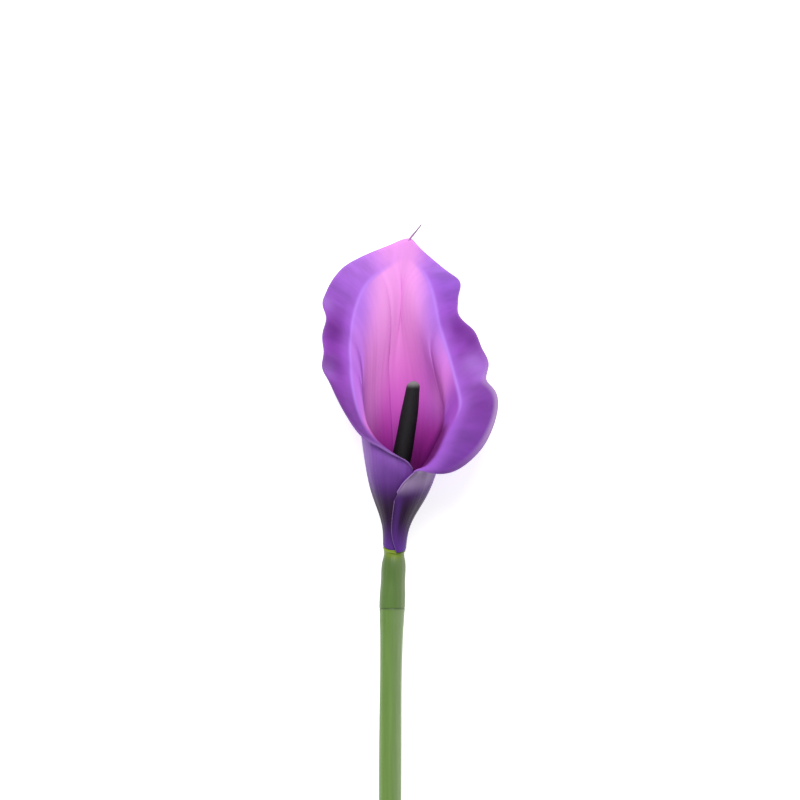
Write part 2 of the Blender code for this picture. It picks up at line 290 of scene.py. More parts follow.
def sheet_grid(bearings, stations):
    """The sheet's middle surface: columns at these bearings, rows at these stations."""
    grid = []
    for net in column_nets(bearings):
        run = np.concatenate([[0.0], np.cumsum(np.linalg.norm(np.diff(net, axis=0), axis=1))])
        grid.append(smooth_curve(run, net, np.interp(stations, range(len(net)), run)))
    return np.array(grid)


# ---------------------------------------------------------------- meshes

def mesh_from(name, points, quads, maps, fans=()):
    """Smooth mesh from points in mm, with one UV map for each entry of maps (name: one pair per point)."""
    mesh = bpy.data.meshes.new(name)
    mesh.from_pydata((np.asarray(points) * MM).tolist(), [], [list(face) for face in quads] + list(fans))
    corners = np.empty(len(mesh.loops), np.int32)
    mesh.loops.foreach_get("vertex_index", corners)
    for map_name, pairs in maps.items():
        layer = mesh.uv_layers.new(name=map_name)
        layer.data.foreach_set("uv", np.asarray(pairs, np.float32)[corners].ravel())
    mesh.shade_smooth()
    mesh.validate()
    return mesh


def grid_quads(columns, rows, first=0, flip=False):
    """Faces of a grid whose points are numbered column by column."""
    c, r = np.meshgrid(np.arange(columns - 1), np.arange(rows - 1), indexing="ij")
    a = (first + c * rows + r).ravel()
    quads = np.stack([a, a + rows, a + rows + 1, a + 1], axis=1)
    return quads[:, ::-1] if flip else quads


def grid_normals(grid):
    """Unit normals of a grid surface, on the side that quads from grid_quads face."""
    return unit(np.cross(np.gradient(grid, axis=0), np.gradient(grid, axis=1)))


def place(name, mesh, materials, slot, *nodes):
    """A piece from a mesh in the flower's frame, which stands for the CAD nodes that are named."""
    for item in materials:
        mesh.materials.append(item)
    mesh.transform(FLOWER)
    piece = bpy.data.objects.new(name, mesh)
    bpy.context.scene.collection.objects.link(piece)
    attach(piece, "root")
    if nodes:
        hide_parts(*nodes)


# ---------------------------------------------------------------- spathe

def spathe_bearings():
    """Bearings of the columns: even steps, closer ones at the crease, the tip and both free ends."""
    even = np.arange(INNER_END, OUTER_END + 0.1, 1.5)
    crease = GROOVE + np.arange(GROOVE_LEAN - 4, 4.1, 0.45)
    tip = np.arange(-3, 3.1, 0.5)
    ends = np.array([0.15, 0.4, 0.8])
    bearings = np.concatenate([even, crease, tip, INNER_END + ends, OUTER_END - ends])
    bearings = np.unique(bearings.round(3))
    return bearings[np.concatenate([[True], np.diff(bearings) > 0.1])]


def spathe_stations():
    """Rows from foot to rim, closer where the sheet bends more and closest at its two cut edges."""
    bands = (8, 10, 9, 9, 20, 14, 14)
    stations = [0.0, 0.02, 0.06]
    for band, rows in enumerate(bands):
        stations += [band + (i + 1) / rows for i in range(rows)]
    stations += [6.93, 6.96, 6.98, 6.992]
    stations = np.unique(np.round(stations, 3))
    return stations[np.concatenate([[True], np.diff(stations) > 0.006])]


def edge_distances(grid):
    """Distances in mm of each point: from the foot, from the rim, from the first and last column."""
    steps = np.linalg.norm(np.diff(grid, axis=1), axis=2)
    from_foot = np.concatenate([np.zeros((len(grid), 1)), np.cumsum(steps, axis=1)], axis=1)
    across = np.linalg.norm(np.diff(grid, axis=0), axis=2)
    from_start = np.concatenate([np.zeros((1, grid.shape[1])), np.cumsum(across, axis=0)], axis=0)
    return from_foot, from_foot[:, -1:] - from_foot, from_start, from_start[-1:] - from_start


def spathe_relief(bearings, stations):
    """Small shapes of the sheet, in mm towards its inner face: crease, ribs and veins."""
    b, s = np.meshgrid(bearings, stations, indexing="ij")
    from_groove = b - GROOVE - GROOVE_LEAN * ease(s, 3.7, 4.8)
    crease_fade = ease(s, 0.5, 2.5) * (1 - ease(s, 4.7, 5.4))
    relief = -0.26 * hump(from_groove, 0, 1.2) * crease_fade
    relief += 0.12 * (hump(from_groove, -4.5, 3) + hump(from_groove, 4.5, 3)) * crease_fade
    ribs = np.sin(np.radians(b) * 9 + 0.8 * np.sin(s * 1.3))
    ribs += 0.6 * np.sin(np.radians(b) * 17 + 2.0 + 0.5 * s)
    relief += 0.07 * ribs * ease(s, 0.3, 1.5) * (1 - ease(s, 4.6, 6.0))
    veins = np.sin(np.radians(b) * 46 + 0.9 * np.sin(s * 0.9 + b * 0.05))
    relief += 0.02 * veins * ease(s, 0.3, 1.5)
    return relief


def rim_curl(grid, stations):
    """How far the last few millimetres of a wide margin bend down, in mm."""
    fold_row = int(np.argmin(np.abs(stations - FOLD_STATION)))
    from_rim = edge_distances(grid)[1]
    width = from_rim[:, fold_row:fold_row + 1]
    return 0.9 * (1 - ease(from_rim, 0, 2.6)) ** 2 * ease(width, 3, 9)


def make_spathe():
    """One thin shell: the rolled sheet with its two faces and round edges."""
    bearings, stations = spathe_bearings(), spathe_stations()
    grid = sheet_grid(bearings, stations)
    normals = grid_normals(grid)
    grid = grid + spathe_relief(bearings, stations)[..., None] * normals
    grid[..., 2] -= rim_curl(grid, stations)
    normals = grid_normals(grid)
    from_foot, from_rim, from_start, from_end = edge_distances(grid)
    nearest = np.minimum(np.minimum(from_foot, from_rim), np.minimum(from_start, from_end))
    half = SHEET / 2 * (0.55 + 0.45 * ease(from_rim, 0, 14))
    round_edge = np.sqrt(np.clip(1 - (1 - np.minimum(nearest / half, 1)) ** 2, 0, 1))
    offset = (half * round_edge)[..., None] * normals
    columns, rows = grid.shape[:2]
    inner, outer = (grid + offset).reshape(-1, 3), (grid - offset).reshape(-1, 3)
    b, s = np.meshgrid(bearings, stations, indexing="ij")
    fold_row = int(np.argmin(np.abs(stations - FOLD_STATION)))
    past_fold = from_foot - from_foot[:, fold_row:fold_row + 1]
    turn = np.stack([b / 360 + BEARING_SHIFT, s / RIM_STATION], axis=-1).reshape(-1, 2)
    span = np.stack([from_rim / RIM_SPAN, past_fold / FOLD_SPAN + 0.5], axis=-1).reshape(-1, 2)
    inside = grid_quads(columns, rows)
    outside = grid_quads(columns, rows, first=columns * rows, flip=True)
    points = np.concatenate([inner, outer])
    maps = {"turn": np.concatenate([turn, turn]), "span": np.concatenate([span, span])}
    mesh = mesh_from("spathe_sheet", points, np.concatenate([inside, outside]), maps)
    weld_edges(mesh, len(inside))
    place("spathe_sheet", mesh, (spathe_inside(), spathe_outside()), "spathe", "spathe")


def weld_edges(mesh, inside_faces):
    """Join the two faces of the sheet along its edges, and give the outer face the second material."""
    slots = np.zeros(len(mesh.polygons), np.int32)
    slots[inside_faces:] = 1
    mesh.polygons.foreach_set("material_index", slots)
    bm = bmesh.new()
    bm.from_mesh(mesh)
    edge_points = [vertex for vertex in bm.verts if vertex.is_boundary]
    bmesh.ops.remove_doubles(bm, verts=edge_points, dist=WELD)
    bm.to_mesh(mesh)
    bm.free()


# ---------------------------------------------------------------- materials

class Finish:
    """A Principled material whose pattern nodes are added by short calls that return sockets."""

    def __init__(self, name, **settings):
        self.material = bpy.data.materials.new(name)
        self.material.use_nodes = True
        self.tree = self.material.node_tree
        self.shader = self.tree.nodes["Principled BSDF"]
        for socket, value in settings.items():
            self.shader.inputs[socket.replace("_", " ")].default_value = value
        self.heights = []

    def node(self, kind, inputs=(), **settings):
        node = self.tree.nodes.new(kind)
        for key, value in settings.items():
            setattr(node, key, value)
        for socket, value in dict(inputs).items():
            self.feed(node.inputs[socket], value)
        return node

    def feed(self, socket, value):
        if isinstance(value, bpy.types.NodeSocket):
            self.tree.links.new(value, socket)
        elif socket.type == "RGBA" and len(value) == 3:
            socket.default_value = (*value, 1.0)
        else:
            socket.default_value = value

    def math(self, operation, a, b=0.0, clamp=False):
        return self.node("ShaderNodeMath", {0: a, 1: b}, operation=operation, use_clamp=clamp).outputs[0]

    def product(self, a, b):
        return self.math("MULTIPLY", a, b)

    def scaled(self, value, factor, offset=0.0):
        """value * factor + offset."""
        inputs = {0: value, 1: factor, 2: offset}
        return self.node("ShaderNodeMath", inputs, operation="MULTIPLY_ADD").outputs[0]

    def between(self, value, low, high, start=0.0, end=1.0):
        """start below low, end above high, smooth between."""
        inputs = {"Value": value, "From Min": low, "From Max": high, "To Min": start, "To Max": end}
        return self.node("ShaderNodeMapRange", inputs, interpolation_type="SMOOTHSTEP").outputs[0]

    def bell(self, value, middle, reach):
        """1 at the middle, falling smoothly to almost nothing at twice the reach."""
        away = self.scaled(value, 1 / reach, -middle / reach)
        return self.math("EXPONENT", self.scaled(self.product(away, away), -1.0))

    def uv(self, name):
        """The two parts of a UV map."""
        node = self.node("ShaderNodeUVMap", uv_map=name)
        parts = self.node("ShaderNodeSeparateXYZ", {0: node.outputs[0]})
        return parts.outputs[0], parts.outputs[1]

    def spot(self):
        """The point in the flower's frame, in mm, as a vector and as its three parts."""
        node = self.node("ShaderNodeTexCoord")
        back = {"Vector": node.outputs["Object"], "Location": FLOWER.translation,
                "Rotation": FLOWER.to_euler(), "Scale": (MM, MM, MM)}
        spot = self.node("ShaderNodeMapping", back, vector_type="TEXTURE").outputs[0]
        return spot, *self.node("ShaderNodeSeparateXYZ", {0: spot}).outputs

    def vector(self, x, y, z=0.0):
        return self.node("ShaderNodeCombineXYZ", {0: x, 1: y, 2: z}).outputs[0]

    def noise(self, vector, scale, detail, roughness):
        inputs = {"Vector": vector, "Scale": scale, "Detail": detail, "Roughness": roughness}
        return self.node("ShaderNodeTexNoise", inputs).outputs[0]

    def ramp(self, value, low, high, stops):
        """Colours at places from low to high, blended smoothly between them."""
        inputs = {"Value": value, "From Min": low, "From Max": high}
        share = self.node("ShaderNodeMapRange", inputs).outputs[0]
        node = self.node("ShaderNodeValToRGB", {0: share})
        node.color_ramp.interpolation = "B_SPLINE"
        elements = node.color_ramp.elements
        while len(elements) < len(stops):
            elements.new(1.0)
        for element, (place_along, colour) in zip(elements, stops):
            element.position = (place_along - low) / (high - low)
            element.color = (*colour, 1.0)
        return node.outputs[0]

    def mix(self, factor, a, b):
        """Colour a turning into colour b as factor goes from 0 to 1."""
        node = self.node("ShaderNodeMix", data_type="RGBA")
        self.feed(node.inputs[0], factor)
        self.feed(node.inputs[6], a)
        self.feed(node.inputs[7], b)
        return node.outputs[2]

    def tone(self, colour, factor, low, high):
        """The colour times a level that runs from low to high as factor goes from 0 to 1."""
        level = self.between(factor, 0.0, 1.0, low, high)
        return self.node("ShaderNodeVectorMath", {0: colour, 3: level}, operation="SCALE").outputs[0]

    def raise_by(self, height, millimetres):
        """Add bump: a height from 0 to 1 stands this many mm out of the surface."""
        self.heights.append(self.scaled(height, millimetres * MM))

    def done(self, colour, roughness=None):
        """Link the colour, the roughness and the summed bump, and return the material."""
        self.feed(self.shader.inputs["Base Color"], colour)
        if roughness is not None:
            self.feed(self.shader.inputs["Roughness"], roughness)
        if self.heights:
            total = self.heights[0]
            for height in self.heights[1:]:
                total = self.math("ADD", total, height)
            bump = self.node("ShaderNodeBump", {"Height": total, "Distance": 1.0, "Strength": 1.0})
            self.feed(self.shader.inputs["Normal"], bump.outputs[0])
        return self.material


def sheet_place(finish):
    """Where a point lies on the sheet: bearing, station, mm from the rim, mm past the fold."""
    turn, along = finish.uv("turn")
    from_rim, past_fold = finish.uv("span")
    bearing = finish.scaled(turn, 360, -360 * BEARING_SHIFT)
    station = finish.scaled(along, RIM_STATION)
    rim_mm = finish.scaled(from_rim, RIM_SPAN)
    fold_mm = finish.scaled(past_fold, FOLD_SPAN, -FOLD_SPAN / 2)
    return bearing, station, rim_mm, fold_mm


def sheet_veins(finish):
    """Fine streaks that run from the foot to the rim: a broad set and a fine set."""
    turn, along = finish.uv("turn")
    broad_place = finish.vector(finish.scaled(turn, 42), finish.scaled(along, 2.2))
    fine_place = finish.vector(finish.scaled(turn, 150), finish.scaled(along, 5.0), 3.0)
    broad = finish.noise(broad_place, 1.0, 3.0, 0.55)
    fine = finish.noise(fine_place, 1.0, 2.0, 0.5)
    return broad, fine


def sheet_bump(finish, spot, broad, fine):
    """Low relief of the streaks, and a fine grain."""
    finish.raise_by(broad, 0.06)
    finish.raise_by(fine, 0.02)
    finish.raise_by(finish.noise(spot, 2.2, 4.0, 0.6), 0.035)


# Painted shade where the margin's waves turn away from the light, and painted light where they turn towards
# it: bearing, station, strength
PAINTED_WAVE_SHADE = (
    (-98, 6.3, 0.7),
    (-89, 6.2, 0.7),
    (-81, 6.2, 0.9),
    (-72, 6.0, 0.5),
    (79, 6.2, 0.8),
    (88, 6.5, 1.0),
    (122, 6.0, 0.5),
)
PAINTED_WAVE_LIGHT = (
    (-104, 6.6, 0.4),
    (-70, 6.8, 0.4),
    (28, 6.2, 0.3),
    (99, 6.0, 0.4),
    (106, 6.6, 0.3),
)


def patches(finish, bearing, station, table):
    """Soft patches of a table, added up and held at 1 or less."""
    total = 0.0
    for middle, along, strength in table:
        patch = finish.product(finish.bell(bearing, middle, 5.0), finish.bell(station, along, 0.6))
        total = finish.math("ADD", total, finish.scaled(patch, strength), clamp=True)
    return total


def margin_colour(finish, bearing, station, rim_mm, fold_mm, broad, fine):
    """Violet margin: lilac beside the tip, darker down both sides, paler along its fold, with painted shade
    and light on its waves and a painted highlight along its rim.
    """
    margin = finish.ramp(bearing, -205, 190, (
        (-180, (0.12, 0.038, 0.22)),
        (-125, (0.15, 0.034, 0.25)),
        (-98, (0.27, 0.045, 0.44)),
        (-72, (0.22, 0.052, 0.39)),
        (-42, (0.30, 0.100, 0.55)),
        (0, (0.60, 0.225, 0.82)),
        (34, (0.21, 0.078, 0.50)),
        (68, (0.26, 0.052, 0.45)),
        (92, (0.23, 0.048, 0.38)),
        (108, (0.28, 0.076, 0.46)),
        (130, (0.17, 0.036, 0.31)),
        (165, (0.175, 0.040, 0.35)),
    ))
    margin = finish.tone(margin, broad, 0.72, 1.30)
    margin = finish.tone(margin, fine, 0.92, 1.08)
    # Painted shade and painted light on the margin's waves
    margin = finish.mix(patches(finish, bearing, station, PAINTED_WAVE_SHADE), margin, (0.17, 0.026, 0.29))
    margin = finish.mix(patches(finish, bearing, station, PAINTED_WAVE_LIGHT), margin, (0.40, 0.200, 0.66))
    open_fold = finish.between(bearing, -125, -98)
    beside_fold = finish.product(finish.between(fold_mm, 7.0, 0.0, 0.0, 0.50), open_fold)
    margin = finish.mix(beside_fold, margin, (0.40, 0.120, 0.70))
    # Painted highlight along the rim, and a wider, paler one along the lobe's rim
    rim_highlight = finish.between(rim_mm, 1.8, 0.2, 0.0, 0.40)
    margin = finish.mix(rim_highlight, margin, (0.36, 0.170, 0.56))
    on_lobe = finish.bell(bearing, 124, 17)
    lobe_rim_highlight = finish.product(finish.between(rim_mm, 5.0, 1.5, 0.0, 0.9), on_lobe)
    return finish.mix(lobe_rim_highlight, margin, (0.44, 0.280, 0.56))


def spathe_inside():
    """Pink cup, deep magenta low down (its own colour deepened by painted shade), painted light and shade
    on its flanks and crease, a painted highlight along the fold, and a violet margin.
    """
    finish = Finish("spathe_inside", Roughness=0.60, Specular_IOR_Level=0.18)
    bearing, station, rim_mm, fold_mm = sheet_place(finish)
    spot, x, y, _ = finish.spot()
    broad, fine = sheet_veins(finish)
    # Pink deepening to dark magenta down the throat: the cup's own colour, deepened by painted shade of the
    # deep throat
    cup = finish.ramp(y, 30, 142, (
        (34, (0.11, 0.003, 0.09)),
        (50, (0.33, 0.014, 0.31)),
        (68, (0.61, 0.098, 0.55)),
        (90, (0.72, 0.215, 0.63)),
        (112, (0.80, 0.320, 0.74)),
        (138, (0.83, 0.300, 0.80)),
    ))
    lilac = finish.mix(finish.between(y, 75.0, 112.0, 0.30, 0.92), cup, (0.38, 0.140, 0.70))
    high_enough = finish.between(y, 50.0, 66.0)
    lilac_left = finish.product(finish.between(x, -4.0, -17.0), high_enough)
    lilac_right = finish.product(finish.between(x, 7.0, 19.0), high_enough)
    cup = finish.mix(finish.math("MAXIMUM", lilac_left, lilac_right), cup, lilac)
    # Painted shade low down on the right side of the throat
    right_and_low_shade = finish.math("SUBTRACT", x, finish.scaled(y, 0.5, -20.0))
    cup = finish.mix(finish.between(right_and_low_shade, 11.0, 15.5, 0.0, 0.88), cup, (0.09, 0.002, 0.10))
    cup = finish.tone(cup, broad, 0.90, 1.09)
    groove = finish.between(station, 3.7, 4.8, GROOVE, GROOVE + GROOVE_LEAN)
    from_groove = finish.math("SUBTRACT", bearing, groove)
    low_enough = finish.between(station, 5.2, 4.2)
    # Painted shade darkening the crease
    crease = finish.product(finish.bell(from_groove, 0.0, 1.3), low_enough)
    cup = finish.mix(finish.scaled(crease, 0.35), cup, (0.40, 0.07, 0.42))
    # Painted light: a pale glint down the cup's left flank
    from_flank = finish.math("SUBTRACT", x, finish.scaled(y, 0.125, -19.5))
    left_flank_light = finish.product(finish.bell(from_flank, 0.0, 5.0), finish.bell(y, 84.0, 30.0))
    cup = finish.mix(finish.scaled(left_flank_light, 0.85), cup, (0.92, 0.37, 0.86))
    under_ridge = finish.product(finish.between(x, -12.5, -16.0), finish.between(y, 104.0, 84.0))
    cup = finish.mix(finish.scaled(under_ridge, 0.65), cup, (0.38, 0.130, 0.68))
    # Painted light where light catches the cup's right flank
    right_flank_light = finish.product(finish.bell(x, 21.0, 4.0), finish.bell(y, 71.0, 9.0))
    cup = finish.mix(finish.scaled(right_flank_light, 0.60), cup, (0.80, 0.28, 0.78))
    past_edge = finish.math("SUBTRACT", station, finish.between(bearing, 106, 134, 4.05, 4.9))
    lobe = finish.product(finish.between(bearing, 90, 112), finish.between(past_edge, -0.15, 0.2))
    cup = finish.mix(lobe, cup, (0.29, 0.058, 0.44))
    margin = margin_colour(finish, bearing, station, rim_mm, fold_mm, broad, fine)
    beside_tip = finish.bell(bearing, 0.0, 26.0)
    over = finish.product(finish.between(fold_mm, -2.0, 1.0), finish.scaled(beside_tip, -0.9, 1.0))
    colour = finish.mix(over, cup, margin)
    # Painted highlight along the fold, where the margin turns over
    fold_highlight = finish.product(finish.bell(fold_mm, -0.2, 1.0), finish.scaled(beside_tip, -0.9, 0.72))
    fold_highlight = finish.product(fold_highlight, finish.between(bearing, 128, 112))
    fold_highlight = finish.product(fold_highlight, finish.between(bearing, -140, -100, 0.25, 1.0))
    colour = finish.mix(fold_highlight, colour, (0.49, 0.215, 0.84))
    # Painted highlight along the rolled free edge
    colour = finish.mix(finish.between(bearing, 185.5, 187.3, 0.0, 0.7), colour, (0.34, 0.180, 0.52))
    sheet_bump(finish, spot, broad, fine)
    return finish.done(colour)


def spathe_outside():
    """Violet at the margin, dark purple down the funnel (its own colour deepened by painted shade) and
    brighter violet again at the foot, with a painted sheen on the flap and painted highlights along the rim
    and the free edge.
    """
    finish = Finish("spathe_outside", Roughness=0.45, Specular_IOR_Level=0.22)
    bearing, _, rim_mm, _ = sheet_place(finish)
    spot, x, y, _ = finish.spot()
    broad, fine = sheet_veins(finish)
    # Dark purple down the funnel: its own colour, deepened by painted shade where the funnel faces away
    # from the light
    colour = finish.ramp(y, -3, 140, (
        (-2, (0.110, 0.030, 0.30)),
        (4, (0.090, 0.024, 0.20)),
        (12, (0.020, 0.004, 0.024)),
        (22, (0.018, 0.003, 0.026)),
        (31, (0.140, 0.034, 0.29)),
        (44, (0.250, 0.095, 0.44)),
        (80, (0.260, 0.080, 0.43)),
        (138, (0.360, 0.120, 0.56)),
    ))
    # Painted sheen: a pale lavender reflection on the flap's outer face
    painted_sheen = finish.between(finish.math("SUBTRACT", y, finish.scaled(x, 0.25)), 21.5, 29.0)
    painted_sheen = finish.product(painted_sheen, finish.between(bearing, 104, 128, 0.0, 0.85))
    colour = finish.mix(painted_sheen, colour, (0.36, 0.26, 0.43))
    colour = finish.tone(colour, broad, 0.88, 1.14)
    edge_band = finish.product(finish.bell(bearing, 176, 8), finish.between(y, 27, 22, 0.0, 0.8))
    colour = finish.mix(edge_band, colour, (0.085, 0.022, 0.20))
    # Painted highlight along the rolled free edge
    colour = finish.mix(finish.between(bearing, 185.5, 187.3, 0.0, 0.7), colour, (0.30, 0.150, 0.46))
    # Painted highlight along the rim
    colour = finish.mix(finish.between(rim_mm, 1.0, 0.2, 0.0, 0.6), colour, (0.42, 0.24, 0.60))
    sheet_bump(finish, spot, broad, fine)
    return finish.done(colour)


# ---------------------------------------------------------------- spadix, neck and stem

def rod(name, heights, middles, radii, sides, relief, tilt=None):
    """Closed rod of rings along Y; relief adds to their radii, and tilt shifts their points along Y.

    middles holds each ring's middle X and Z, and angle 0 of a ring faces +Z.
    """
    turns = np.linspace(0, 2 * math.pi, sides + 1)
    t, y = np.meshgrid(turns, heights, indexing="ij")
    radius = radii + relief(t, y)
    x = middles[:, 0] + radius * np.sin(t)
    z = middles[:, 1] + radius * np.cos(t)
    grid = np.stack([x, y, z], axis=2)
    if tilt is not None:
        grid[..., 1] += tilt(grid)
    return closed_tube(name, grid, np.stack([t / (2 * math.pi), y / 100], axis=2))


def closed_tube(name, grid, pairs):
    """Mesh from rings that run along a route, closed by a fan at each end, with UV map "turn"."""
    columns, rows = grid.shape[:2]
    ends = np.stack([grid[:-1, 0].mean(axis=0), grid[:-1, -1].mean(axis=0)])
    points = np.concatenate([grid.reshape(-1, 3), ends])
    pairs = np.concatenate([pairs.reshape(-1, 2), pairs[0, 0:1], pairs[0, -1:]])
    fans = []
    for column in range(columns - 1):
        fans.append((column * rows, len(points) - 2, (column + 1) * rows))
        fans.append((column * rows + rows - 1, (column + 1) * rows + rows - 1, len(points) - 1))
    mesh = mesh_from(name, points, grid_quads(columns, rows), {"turn": pairs}, fans)
    bm = bmesh.new()
    bm.from_mesh(mesh)
    bmesh.ops.remove_doubles(bm, verts=bm.verts, dist=WELD)
    bmesh.ops.recalc_face_normals(bm, faces=bm.faces)
    bm.to_mesh(mesh)
    bm.free()
    mesh.set_sharp_from_angle(angle=math.radians(50))
    return mesh


def make_tail():
    """The thread that the spathe's tip runs out into: a curved taper, round at its end."""
    round_from = 0.96
    round_run = 0.041   # a little past the end, so that the last ring keeps some radius
    shares = np.concatenate([np.linspace(0, round_from, 40), [0.975, 0.988, 0.996, 1.0]])
    route = through(TAIL, shares)
    middles = route[:, :3]
    into_end = np.maximum(shares - round_from, 0) / round_run
    radii = route[:, 3] * np.sqrt(1 - into_end**2)
    forward = unit(np.gradient(middles, axis=0))
    side = unit(np.cross(forward, (0, 0, 1)))
    top = np.cross(side, forward)
    turns = np.linspace(0, 2 * math.pi, 17)
    ring = np.cos(turns)[:, None, None] * side + np.sin(turns)[:, None, None] * top
    t, along = np.meshgrid(turns / (2 * math.pi), shares, indexing="ij")
    mesh = closed_tube("spathe_tail", middles + radii[:, None] * ring, np.stack([t, along], axis=2))
    place("spathe_tail", mesh, (tail_finish(),), "spathe")


def tail_finish():
    """Dull violet grey, darker towards the end."""
    finish = Finish("tail_finish", Roughness=0.6, Specular_IOR_Level=0.25)
    _, along = finish.uv("turn")
    return finish.done(finish.ramp(along, 0, 1, (
        (0.0, (0.74, 0.26, 0.72)),
        (0.3, (0.46, 0.26, 0.46)),
        (1.0, (0.24, 0.16, 0.28)),
    )))


def make_spadix():
    """Dark rod with a round tip and a skin of small nubs, leaning a little to the right."""
    foot, top = 8.3, 76.8
    foot_round, tip_radius = 1.6, 3.05
    heights = np.concatenate([
        foot + foot_round * (1 - np.cos(np.linspace(0, math.pi / 2, 7))),
        np.linspace(foot + foot_round + 0.2, top - tip_radius, 150),
        top - tip_radius + tip_radius * np.sin(np.linspace(0.06, 1.53, 16)),
    ])
    body = smooth_curve((foot, 14, 28, 44, 53, 64, top - tip_radius, top),
                        (2.4, 3.3, 4.2, 4.5, 4.25, 3.85, tip_radius + 0.1, tip_radius), heights)
    into_tip = np.clip((heights - (top - tip_radius)) / tip_radius, 0, 1)
    into_foot = np.clip((foot + foot_round - heights) / foot_round, 0, 0.98)
    radii = body * np.sqrt(1 - into_tip**2) * np.sqrt(1 - into_foot**2)
    middles = smooth_curve((foot, 28, 44, 64, 77),
                           ((-0.3, 0.0), (0.8, 0.6), (3.5, 1.8), (6.9, 3.4), (8.6, 4.2)),
                           heights)

    def nubs(t, y):
        lattice = np.cos(t * 17 + y * 4.1) * np.cos(t * 17 - y * 4.1)
        lumps = 0.5 * np.sin(t * 3 + y * 0.21) + 0.5 * np.sin(t * 2 - y * 0.34 + 1.0)
        return (0.045 * lattice + 0.06 * lumps) * ease(top - y, 0, 2.5)

    mesh = rod("spadix_rod", heights, middles, radii, 136, nubs)
    place("spadix_rod", mesh, (spadix_finish(),), "spadix", "spadix")


def spadix_finish():
    """Near black, a little lighter where the grain stands up, with a painted grey highlight on the tip."""
    finish = Finish("spadix_finish", Roughness=0.5, Specular_IOR_Level=0.28)
    spot, _, y, _ = finish.spot()
    grain = finish.noise(spot, 3.2, 4.0, 0.65)
    clouds = finish.noise(spot, 0.35, 2.0, 0.5)
    colour = finish.mix(finish.between(grain, 0.42, 0.72), (0.004, 0.003, 0.0045), (0.014, 0.011, 0.016))
    colour = finish.tone(colour, clouds, 0.7, 1.3)
    # Painted highlight on the tip
    colour = finish.mix(finish.between(y, 73.0, 76.2, 0.0, 0.9), colour, (0.22, 0.20, 0.21))
    finish.raise_by(grain, 0.14)
    finish.raise_by(finish.noise(spot, 9.0, 2.0, 0.5), 0.03)
    return finish.done(colour, finish.between(grain, 0.35, 0.7, 0.62, 0.46))


def stem_middle(heights):
    """Middle X and Z of the neck and the stem, which drift a little to the left going down."""
    ys, xs = zip(*STEM_MIDDLES)
    x = smooth_curve(ys, xs, heights)
    return np.stack([x, 0 * x], axis=1)


def foot_tilt(grid):
    """Raises the rings near the neck's top to the slope of the spathe's foot."""
    level, per_x, per_z = FOOT_SLOPE
    slope = level + per_x * grid[..., 0] + per_z * grid[..., 2]
    return slope * ease(grid[..., 1], -3.2, -0.2)


def make_neck():
    """Darker green sleeve, from inside the spathe's foot down to the joint, where it is thickest."""
    heights = np.concatenate([
        [JOINT_Y + 0.02, JOINT_Y + 0.08, JOINT_Y + 0.2, JOINT_Y + 0.4],
        np.linspace(JOINT_Y + 0.8, -1.0, 70),
        [-0.6, -0.35, -0.2, -0.1, 0.1, 0.5, 1.2],
    ])
    radii = smooth_curve(
        (JOINT_Y, JOINT_Y + 0.15, JOINT_Y + 0.4, -24, -20, -14.7, -5.5, -1.0, -0.35, -0.1, 1.2),
        (5.78, 5.88, 5.92, 5.90, 5.78, 5.52, 5.12, 5.03, 4.97, 4.5, 3.9), heights)

    def ribs(t, y):
        return 0.035 * np.sin(t * 11 + 0.3 * np.sin(y * 0.2)) + 0.05 * np.sin(t * 2 + y * 0.13)

    mesh = rod("neck_sleeve", heights, stem_middle(heights), radii, 96, ribs, foot_tilt)
    place("neck_sleeve", mesh, (neck_finish(),), "neck", "neck")


def green_skin(finish, spot):
    """Long soft streaks along the stem, and a fine grain, both also as low relief."""
    stretched = {0: spot, 1: (1.0, 0.045, 1.0)}
    along_stem = finish.node("ShaderNodeVectorMath", stretched, operation="MULTIPLY").outputs[0]
    streaks = finish.noise(along_stem, 0.55, 3.0, 0.55)
    grain = finish.noise(spot, 3.0, 3.0, 0.6)
    finish.raise_by(streaks, 0.12)
    finish.raise_by(grain, 0.04)
    return streaks, grain


def neck_finish():
    """Moss green, greyer down its right side as a painted sheen, with a yellow-green ring under the
    spathe's foot.
    """
    finish = Finish("neck_finish", Roughness=0.42, Specular_IOR_Level=0.45)
    spot, x, y, z = finish.spot()
    streaks, grain = green_skin(finish, spot)
    colour = finish.ramp(y, -28, 1, (
        (JOINT_Y, (0.100, 0.195, 0.036)),
        (-16, (0.092, 0.180, 0.034)),
        (-5, (0.082, 0.155, 0.028)),
        (0, (0.078, 0.140, 0.020)),
    ))
    # Painted sheen: greyer down the right side
    colour = finish.mix(finish.between(x, -1.5, 4.5), colour, finish.mix(0.5, colour, (0.20, 0.25, 0.13)))
    colour = finish.tone(colour, streaks, 0.82, 1.2)
    level, per_x, per_z = FOOT_SLOPE
    rim = finish.math("ADD", finish.scaled(x, per_x, level), finish.scaled(z, per_z))
    below = finish.math("SUBTRACT", rim, y)
    ring = finish.product(finish.between(below, 5.0, 0.5), finish.between(x, 5.0, 0.0, 0.25, 0.85))
    colour = finish.mix(ring, colour, (0.21, 0.31, 0.008))
    return finish.done(colour, finish.between(grain, 0.3, 0.7, 0.50, 0.38))


